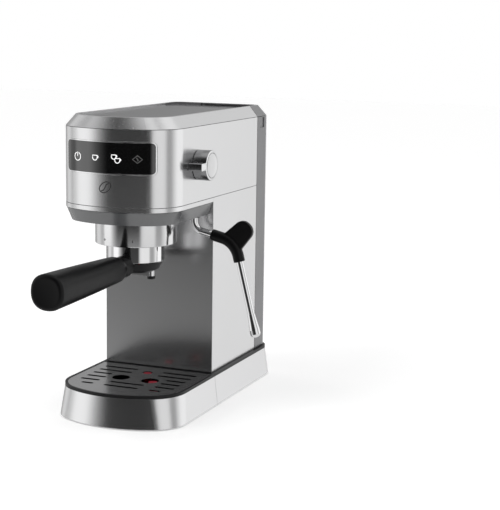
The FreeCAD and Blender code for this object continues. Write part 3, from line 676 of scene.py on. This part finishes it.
def stroke(bm, points, find, width=STROKE, closed=False):
    """A raised line of even width along points, laid on a curved surface."""
    count = len(points)
    rails = []
    for i, (x, z) in enumerate(points):
        before = points[i - 1] if i or closed else points[i]
        after = points[(i + 1) % count] if i < count - 1 or closed else points[i]
        along = Vector((after[0] - before[0], after[1] - before[1])).normalized()
        side = Vector((-along.y, along.x)) * width / 2
        rail = []
        for sx, depth in ((1, -INK_PROUD), (-1, -INK_PROUD), (-1, INK_SUNK), (1, INK_SUNK)):
            px, pz = x + side.x * sx, z + side.y * sx
            rail.append(bm.verts.new((px, find(px, pz) + depth, pz)))
        rails.append(rail)
    for lower, upper in zip(rails, rails[1:]):
        bridge(bm, lower, upper)
    if closed:
        bridge(bm, rails[-1], rails[0])
    else:
        bm.faces.new(rails[0])
        bm.faces.new(rails[-1])


def cup(bm, find, x, z, size):
    """A small cup with its handle."""
    half = size / 2
    rim_z = z + half * 0.8
    bowl = [(x - half, rim_z), *arc_points(x, z, half, 180, 360, 16), (x + half, rim_z)]
    stroke(bm, bowl, find, closed=True)
    stroke(bm, arc_points(x + half, z + half * 0.25, half * 0.42, -70, 90, 10), find)


def make_display_symbols():
    """White touch symbols on the bowed glass, and a dim one for steam."""
    find = surface_finder("display_glass")
    z = box_middle("display_glass").z - 0.6 * MM
    bm = bmesh.new()
    power_x, single_x, double_x, steam_x = SYMBOL_PLACES
    stroke(bm, arc_points(power_x, z, 4.3 * MM, 110, 430), find)
    stroke(bm, [(power_x, z + 0.3 * MM), (power_x, z + 2.6 * MM), (power_x, z + 4.9 * MM)], find)
    cup(bm, find, single_x, z + 0.4 * MM, 5.8 * MM)
    cup(bm, find, double_x - 2.2 * MM, z + 2.1 * MM, 5.0 * MM)
    cup(bm, find, double_x + 1.8 * MM, z - 1.7 * MM, 5.4 * MM)
    finish_piece("display_symbols", bm, "housing", "display_black", "symbol_white")
    bm = bmesh.new()
    wide, high = 4.9 * MM, 4.1 * MM
    diamond = [(steam_x - wide, z), (steam_x, z + high), (steam_x + wide, z), (steam_x, z - high)]
    stroke(bm, diamond, find, closed=True)
    wave = [(steam_x + math.sin(i * 0.9) * 0.7 * MM, z - 1.8 * MM + i * 0.6 * MM) for i in range(7)]
    stroke(bm, wave, find)
    finish_piece("display_symbol_steam", bm, "housing", "display_black", "symbol_dim")


def make_emblem():
    """A plain coffee bean, printed below the display: a tilted oval and its crease."""
    find = surface_finder("head_shell")
    middle_z = (Vector(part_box("display_glass")[0]).z + Vector(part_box("head_shell")[0]).z) / 2 + 3.2 * MM
    tilt = math.radians(35)

    def tilted(u, v):
        return u * math.cos(tilt) - v * math.sin(tilt), middle_z + u * math.sin(tilt) + v * math.cos(tilt)

    long_half, short_half = 7.4 * MM, 5.0 * MM
    turns = [2 * math.pi * i / 40 for i in range(40)]
    rim = [tilted(long_half * math.cos(a), short_half * math.sin(a)) for a in turns]
    crease_at = [-0.86 + 1.72 * i / 16 for i in range(17)]
    crease = [tilted(long_half * t, short_half * 0.28 * math.sin(t * math.pi)) for t in crease_at]
    bm = bmesh.new()
    stroke(bm, rim, find, 1.1 * MM, closed=True)
    stroke(bm, crease, find, 1.1 * MM)
    finish_piece("shell_emblem", bm, "housing", "shell_steel", "mark_grey")


MARK_SIDE = 17 * MM     # marks to either side of the middle
MARK_RISE = 7 * MM      # and above the collar's lower edge


def make_collar_marks():
    """Lock and open marks printed on the collar: a dot and a short bar."""
    find = surface_finder("group_collar")
    low = Vector(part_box("group_collar")[0])
    z = low.z + MARK_RISE
    bm = bmesh.new()
    stroke(bm, arc_points(-MARK_SIDE, z, 0.9 * MM, 0, 345, 23), find, 0.6 * MM, closed=True)
    stroke(bm, [(MARK_SIDE, z + rise * MM) for rise in (-1.4, 0, 1.4)], find, 0.7 * MM)
    finish_piece("collar_marks", bm, "housing", "collar_steel", "mark_grey")


# ------------------------------------------------------------------ the whole scene
set_view()
make_camera()
make_studio()
make_key_light()
make_floor()
MATERIALS = make_materials()
dress_nodes(MATERIALS)
make_handle_grip()
make_knob()
make_wand_sleeve()
make_drip_grid()
make_spout_tips()
make_group_collar()
make_display_symbols()
make_emblem()
make_collar_marks()
